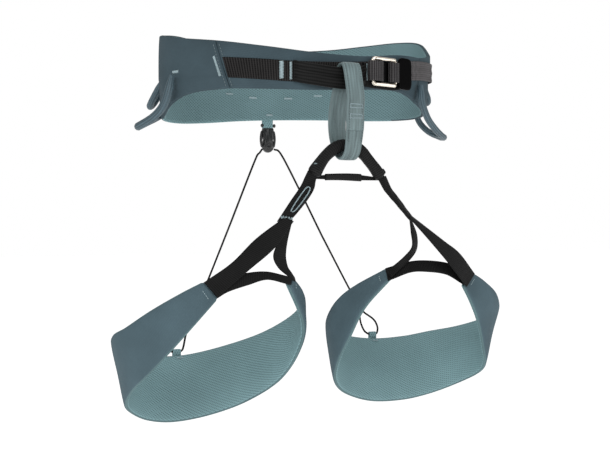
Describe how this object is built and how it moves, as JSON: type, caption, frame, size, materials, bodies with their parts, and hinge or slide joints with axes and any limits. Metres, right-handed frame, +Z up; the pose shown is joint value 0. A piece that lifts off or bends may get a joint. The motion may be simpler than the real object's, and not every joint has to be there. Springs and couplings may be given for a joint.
{
  "type": "climbing harness",
  "caption": "Sport climbing harness: padded waist belt with buckle, gear loops and belay loop, and padded leg loops on webbing risers with an elastic rear suspension.",
  "frame": {"origin": "centre of the waist opening, at the height of the waist belt's middle, where the wearer's waist passes through", "axes": "+X toward the wearer's left hip, +Y toward the wearer's back, +Z up along the wearer's body"},
  "size_m": [0.4605, 0.2474, 0.4216],
  "materials": {
    "shell_fabric": "laminated woven fabric, matt",
    "mesh_lining": "perforated spacer mesh, matt",
    "waist_webbing": "ribbed polyester webbing",
    "black_webbing": "smooth woven webbing and sleeve",
    "belay_webbing": "heavy woven webbing with a slight sheen",
    "buckle_metal": "polished",
    "buckle_cover": "moulded, slightly glossy",
    "gear_loop_plastic": "ribbed moulded sleeve",
    "clip_plastic": "moulded, satin",
    "elastic_cord": "braided elastic cord"
  },
  "bodies": {
    "waist_belt": {"belt_lining": "mesh_lining", "belt_panel_right": "shell_fabric", "belt_panel_front": "shell_fabric", "belt_panel_left": "shell_fabric", "belt_panel_back": "shell_fabric", "waist_webbing": "waist_webbing", "tie_in_loop": "black_webbing", "buckle_plate": "buckle_cover", "webbing_tail": "waist_webbing", "tail_keeper": "black_webbing", "rear_tab": "mesh_lining", "clip_insert": "clip_plastic", "clip_socket": "clip_plastic", "rear_cord_upper_right": "elastic_cord", "rear_cord_upper_left": "elastic_cord"},
    "waist_buckle": {"buckle_frame": "buckle_metal", "buckle_strap": "waist_webbing"},
    "belay_ring": {"belay_loop": "belay_webbing"},
    "leg_bridge": {"leg_bridge_arch": "black_webbing", "cross_strap": "black_webbing", "cross_strap_sleeve": "black_webbing", "riser_right": "black_webbing", "riser_left": "black_webbing", "rear_cord_lower_right": "elastic_cord", "rear_cord_lower_left": "elastic_cord"},
    "leg_right": {"leg_pad_shell_right": "shell_fabric", "leg_pad_lining_right": "mesh_lining", "outer_strap_right": "waist_webbing", "inner_strap_right": "waist_webbing", "front_band_right": "waist_webbing", "cord_knot_right": "elastic_cord", "cord_loop_right": "elastic_cord", "leg_tab_right": "mesh_lining"},
    "leg_left": {"leg_pad_shell_left": "shell_fabric", "leg_pad_lining_left": "mesh_lining", "outer_strap_left": "waist_webbing", "inner_strap_left": "waist_webbing", "front_band_left": "waist_webbing", "cord_knot_left": "elastic_cord", "cord_loop_left": "elastic_cord", "leg_tab_left": "mesh_lining"},
    "gear_front_right": {"gear_loop_front_right": "gear_loop_plastic"},
    "gear_rear_right": {"gear_loop_rear_right": "gear_loop_plastic"},
    "gear_front_left": {"gear_loop_front_left": "gear_loop_plastic"},
    "gear_rear_left": {"gear_loop_rear_left": "gear_loop_plastic"},
    "prong_right": {"clip_prong_right": "clip_plastic"},
    "prong_left": {"clip_prong_left": "clip_plastic"}
  },
  "joints": [
    {"name": "leg_bridge_swing", "type": "hinge", "parent": "waist_belt", "child": "leg_bridge", "pos_m": [-0.002, -0.119, -0.086], "axis": [1, 0, 0], "range_deg": [-8, 25], "stiffness_Nm_per_rad": 6, "deforming": ["rear_cord_upper_right", "rear_cord_upper_left", "rear_cord_lower_right", "rear_cord_lower_left"]},
    {"name": "leg_right_swing", "type": "hinge", "parent": "leg_bridge", "child": "leg_right", "pos_m": [-0.067, -0.113, -0.162], "axis": [0, 1, 0], "range_deg": [-3, 15], "stiffness_Nm_per_rad": 3},
    {"name": "leg_left_swing", "type": "hinge", "parent": "leg_bridge", "child": "leg_left", "pos_m": [0.072, -0.113, -0.159], "axis": [0, -1, 0], "range_deg": [-3, 15], "stiffness_Nm_per_rad": 3},
    {"name": "belay_loop_swing", "type": "hinge", "parent": "waist_belt", "child": "belay_ring", "pos_m": [-0.001, -0.119, -0.012], "axis": [0, 1, 0], "range_deg": [-1.4, 1.9]},
    {"name": "waist_buckle_tilt", "type": "hinge", "parent": "waist_belt", "child": "waist_buckle", "pos_m": [0.0622, -0.1044, -0.008], "axis": [0, 0, 1], "range_deg": [0, 18]},
    {"name": "gear_front_right_flex", "type": "hinge", "parent": "waist_belt", "child": "gear_front_right", "pos_m": [-0.154, 0.014, -0.0145], "axis": [0.1371, 0.9906, 0], "range_deg": [0, 25], "stiffness_Nm_per_rad": 0.15},
    {"name": "gear_rear_right_flex", "type": "hinge", "parent": "waist_belt", "child": "gear_rear_right", "pos_m": [-0.135, 0.074, -0.008], "axis": [0.4899, 0.8718, 0], "range_deg": [0, 25], "stiffness_Nm_per_rad": 0.15},
    {"name": "gear_front_left_flex", "type": "hinge", "parent": "waist_belt", "child": "gear_front_left", "pos_m": [0.1265, -0.0195, -0.019], "axis": [-0.3254, -0.9444, 0.0476], "range_deg": [0, 25], "stiffness_Nm_per_rad": 0.15},
    {"name": "gear_rear_left_flex", "type": "hinge", "parent": "waist_belt", "child": "gear_rear_left", "pos_m": [0.152, 0.032, -0.004], "axis": [0.2425, -0.9701, 0], "range_deg": [0, 25], "stiffness_Nm_per_rad": 0.15},
    {"name": "clip_prong_right_flex", "type": "hinge", "parent": "waist_belt", "child": "prong_right", "pos_m": [-0.0045, 0.1083, -0.0618], "axis": [0, -1, 0], "range_deg": [0, 6], "stiffness_Nm_per_rad": 0.05},
    {"name": "clip_prong_left_flex", "type": "hinge", "parent": "waist_belt", "child": "prong_left", "pos_m": [0.0115, 0.1083, -0.0618], "axis": [0, 1, 0], "range_deg": [0, 6], "stiffness_Nm_per_rad": 0.05}
  ],
  "couplings": [
    {"joint": "clip_prong_left_flex", "follows": "clip_prong_right_flex", "ratio": 1}
  ]
}
